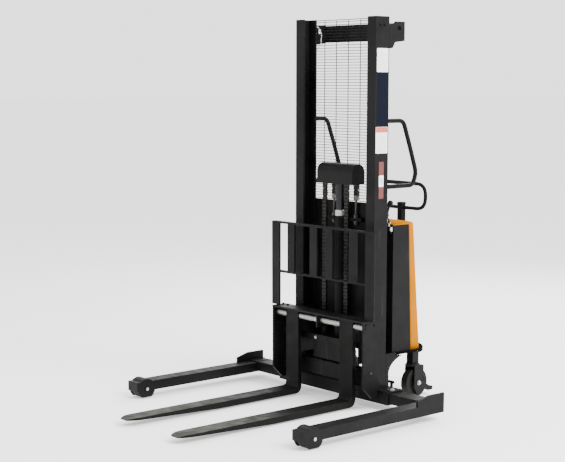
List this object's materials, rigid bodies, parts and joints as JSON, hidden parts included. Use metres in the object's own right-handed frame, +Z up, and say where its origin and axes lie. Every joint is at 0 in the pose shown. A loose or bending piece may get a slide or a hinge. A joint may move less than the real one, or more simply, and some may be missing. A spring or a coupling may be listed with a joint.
{
  "type": "walkie stacker",
  "caption": "Pedestrian straddle stacker with a fixed mast, sliding forks, telescoping outrigger legs, a yellow rear cover and rear casters.",
  "frame": {"origin": "centre of the footprint, on the floor under the wheels", "axes": "+Z up; the forks point to -Y and the tiller is at +Y; +X is the side on the operator's left"},
  "size_m": [1.442, 1.738, 2],
  "materials": {
    "black_paint": "satin powder coat with worn edges",
    "handle_paint": "gloss powder coat on bent tube",
    "guard_wire": "powder-coated welded wire",
    "yellow_cover": "gloss enamel on sheet steel",
    "battery_case": "moulded battery case",
    "motor_paint": "satin enamel",
    "tank_plastic": "moulded tank",
    "zinc": "bright zinc plate",
    "lift_rod_finish": "ground and black nitrided",
    "red_plastic": "moulded",
    "fork_steel": "paint rubbed by loads on the upper face",
    "chain_steel": "oiled leaf chain",
    "roller_steel": "turned steel",
    "wheel_tread": "moulded polyurethane"
  },
  "bodies": {
    "root": {"mast_bridge": "black_paint", "mast_cross_plate": "black_paint", "mesh_guard": "guard_wire", "outrigger_sleeve": "black_paint", "base_front_plate": "black_paint", "deck_plate": "black_paint", "housing_shell": "black_paint", "rear_cover": "yellow_cover", "battery": "battery_case", "pump_motor": "motor_paint", "hydraulic_tank": "tank_plastic", "cylinder_barrel": "black_paint", "cylinder_gland": "zinc", "tiller_socket": "black_paint", "mast_channel_left": "black_paint", "base_side_plate_left": "black_paint", "caster_mount_left": "black_paint", "push_handle_left": "handle_paint", "chain_rod_left": "zinc", "chain_rear_left": "chain_steel", "mast_channel_right": "black_paint", "base_side_plate_right": "black_paint", "caster_mount_right": "black_paint", "push_handle_right": "handle_paint", "chain_rod_right": "zinc", "chain_rear_right": "chain_steel"},
    "ram": {"lift_rod": "lift_rod_finish", "chain_yoke": "black_paint", "yoke_cover": "black_paint"},
    "carriage": {"carriage_frame": "black_paint", "load_backrest": "black_paint", "fork_shaft": "zinc", "chain_front_left": "chain_steel", "chain_front_right": "chain_steel"},
    "tiller": {"tiller": "black_paint"},
    "lift_lever": {"lift_lever": "black_paint"},
    "emergency_stop": {"emergency_stop": "red_plastic"},
    "key_switch": {"key_switch": "zinc"},
    "sheave_left": {"sheave_left": "roller_steel"},
    "mast_roller_upper_left": {"mast_roller_upper_left": "roller_steel"},
    "mast_roller_lower_left": {"mast_roller_lower_left": "roller_steel"},
    "fork_left": {"fork_left": "fork_steel"},
    "outrigger_left": {"outrigger_left": "black_paint", "load_axle_left": "zinc"},
    "load_wheel_left": {"load_wheel_left": "wheel_tread"},
    "clamp_bolt_left": {"clamp_bolt_left": "black_paint"},
    "caster_fork_left": {"caster_fork_left": "black_paint"},
    "caster_wheel_left": {"caster_wheel_left": "wheel_tread"},
    "caster_pedal_left": {"caster_pedal_left": "black_paint"},
    "sheave_right": {"sheave_right": "roller_steel"},
    "mast_roller_upper_right": {"mast_roller_upper_right": "roller_steel"},
    "mast_roller_lower_right": {"mast_roller_lower_right": "roller_steel"},
    "fork_right": {"fork_right": "fork_steel"},
    "outrigger_right": {"outrigger_right": "black_paint", "load_axle_right": "zinc"},
    "load_wheel_right": {"load_wheel_right": "wheel_tread"},
    "clamp_bolt_right": {"clamp_bolt_right": "black_paint"},
    "caster_fork_right": {"caster_fork_right": "black_paint"},
    "caster_wheel_right": {"caster_wheel_right": "wheel_tread"},
    "caster_pedal_right": {"caster_pedal_right": "black_paint"}
  },
  "joints": [
    {"name": "ram_lift", "type": "slide", "parent": "root", "child": "ram", "axis": [0, 0, 1], "range_m": [0, 0.765], "deforming": ["chain_rear_left", "chain_rear_right"]},
    {"name": "carriage_lift", "type": "slide", "parent": "ram", "child": "carriage", "axis": [0, 0, 1], "range_m": [0, 0.765], "deforming": ["chain_front_left", "chain_front_right"]},
    {"name": "tiller_steer", "type": "hinge", "parent": "root", "child": "tiller", "pos_m": [0, 0.837, 0.6], "axis": [0, 0, 1], "range_deg": [-90, 90]},
    {"name": "lift_lever_swing", "type": "hinge", "parent": "root", "child": "lift_lever", "pos_m": [0.273, 0.447, 0.995], "axis": [1, 0, 0], "range_deg": [-20, 20], "stiffness_Nm_per_rad": 1},
    {"name": "emergency_stop_press", "type": "slide", "parent": "root", "child": "emergency_stop", "axis": [0, 0, -1], "range_m": [0, 0.005], "stiffness_N_per_m": 400},
    {"name": "key_turn", "type": "hinge", "parent": "root", "child": "key_switch", "pos_m": [-0.19, 0.566, 0.95], "axis": [0, 0, 1], "range_deg": [-90, 0]},
    {"name": "sheave_left_spin", "type": "hinge", "parent": "ram", "child": "sheave_left", "pos_m": [0.084, 0.38, 1.18], "axis": [1, 0, 0], "continuous": true},
    {"name": "upper_roller_left_spin", "type": "hinge", "parent": "carriage", "child": "mast_roller_upper_left", "pos_m": [0.263, 0.3785, 0.428], "axis": [1, 0, 0], "continuous": true},
    {"name": "lower_roller_left_spin", "type": "hinge", "parent": "carriage", "child": "mast_roller_lower_left", "pos_m": [0.263, 0.3785, 0.262], "axis": [1, 0, 0], "continuous": true},
    {"name": "fork_left_slide", "type": "slide", "parent": "carriage", "child": "fork_left", "axis": [1, 0, 0], "range_m": [-0.15, 0.08]},
    {"name": "outrigger_left_slide", "type": "slide", "parent": "root", "child": "outrigger_left", "axis": [1, 0, 0], "range_m": [-0.19, 0.006]},
    {"name": "load_wheel_left_roll", "type": "hinge", "parent": "outrigger_left", "child": "load_wheel_left", "pos_m": [0.671, -0.438, 0.05], "axis": [1, 0, 0], "continuous": true},
    {"name": "clamp_bolt_left_turn", "type": "hinge", "parent": "root", "child": "clamp_bolt_left", "pos_m": [0.398, 0.376, 0.14], "axis": [0, 0, 1], "range_deg": [0, 360]},
    {"name": "caster_left_swivel", "type": "hinge", "parent": "root", "child": "caster_fork_left", "pos_m": [0.262, 0.671, 0.18], "axis": [0, 0, 1], "continuous": true},
    {"name": "caster_left_roll", "type": "hinge", "parent": "caster_fork_left", "child": "caster_wheel_left", "pos_m": [0.262, 0.683, 0.08], "axis": [1, 0, 0], "continuous": true},
    {"name": "caster_left_brake", "type": "hinge", "parent": "caster_fork_left", "child": "caster_pedal_left", "pos_m": [0.262, 0.683, 0.08], "axis": [1, 0, 0], "range_deg": [-8, 2]},
    {"name": "sheave_right_spin", "type": "hinge", "parent": "ram", "child": "sheave_right", "pos_m": [-0.084, 0.38, 1.18], "axis": [1, 0, 0], "continuous": true},
    {"name": "upper_roller_right_spin", "type": "hinge", "parent": "carriage", "child": "mast_roller_upper_right", "pos_m": [-0.263, 0.3785, 0.428], "axis": [1, 0, 0], "continuous": true},
    {"name": "lower_roller_right_spin", "type": "hinge", "parent": "carriage", "child": "mast_roller_lower_right", "pos_m": [-0.263, 0.3785, 0.262], "axis": [1, 0, 0], "continuous": true},
    {"name": "fork_right_slide", "type": "slide", "parent": "carriage", "child": "fork_right", "axis": [-1, 0, 0], "range_m": [-0.15, 0.08]},
    {"name": "outrigger_right_slide", "type": "slide", "parent": "root", "child": "outrigger_right", "axis": [-1, 0, 0], "range_m": [-0.19, 0.006]},
    {"name": "load_wheel_right_roll", "type": "hinge", "parent": "outrigger_right", "child": "load_wheel_right", "pos_m": [-0.671, -0.438, 0.05], "axis": [1, 0, 0], "continuous": true},
    {"name": "clamp_bolt_right_turn", "type": "hinge", "parent": "root", "child": "clamp_bolt_right", "pos_m": [-0.398, 0.376, 0.14], "axis": [0, 0, 1], "range_deg": [0, 360]},
    {"name": "caster_right_swivel", "type": "hinge", "parent": "root", "child": "caster_fork_right", "pos_m": [-0.262, 0.671, 0.18], "axis": [0, 0, 1], "continuous": true},
    {"name": "caster_right_roll", "type": "hinge", "parent": "caster_fork_right", "child": "caster_wheel_right", "pos_m": [-0.262, 0.683, 0.08], "axis": [1, 0, 0], "continuous": true},
    {"name": "caster_right_brake", "type": "hinge", "parent": "caster_fork_right", "child": "caster_pedal_right", "pos_m": [-0.262, 0.683, 0.08], "axis": [1, 0, 0], "range_deg": [-8, 2]}
  ],
  "couplings": [
    {"joint": "carriage_lift", "follows": "ram_lift", "ratio": 1}
  ]
}
